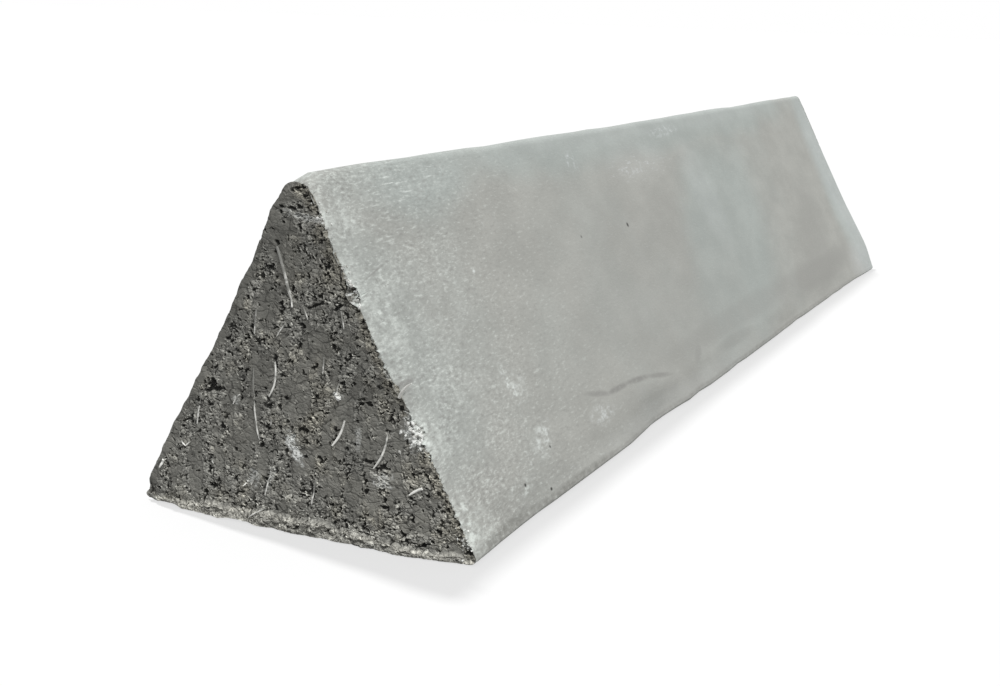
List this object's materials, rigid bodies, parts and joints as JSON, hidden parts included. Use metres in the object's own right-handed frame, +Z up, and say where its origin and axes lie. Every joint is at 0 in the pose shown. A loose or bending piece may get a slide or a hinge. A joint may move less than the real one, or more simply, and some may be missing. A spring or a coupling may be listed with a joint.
{
  "type": "concrete spacer bar",
  "caption": "Triangular bar of fibre concrete with a flat base and a rounded ridge, laid on formwork to hold reinforcement at a set concrete cover.",
  "frame": {"origin": "centre of the flat base, on the surface that the bar lies on", "axes": "+Y along the bar, +Z up from the base through the ridge, +X across the section"},
  "size_m": [0.0654, 0.33, 0.06],
  "materials": {
    "concrete": "matt pale grey cast skin, with rough dark grey cut ends that show pores and fibres"
  },
  "bodies": {
    "root": {"spacer_bar": "concrete"}
  },
  "joints": []
}
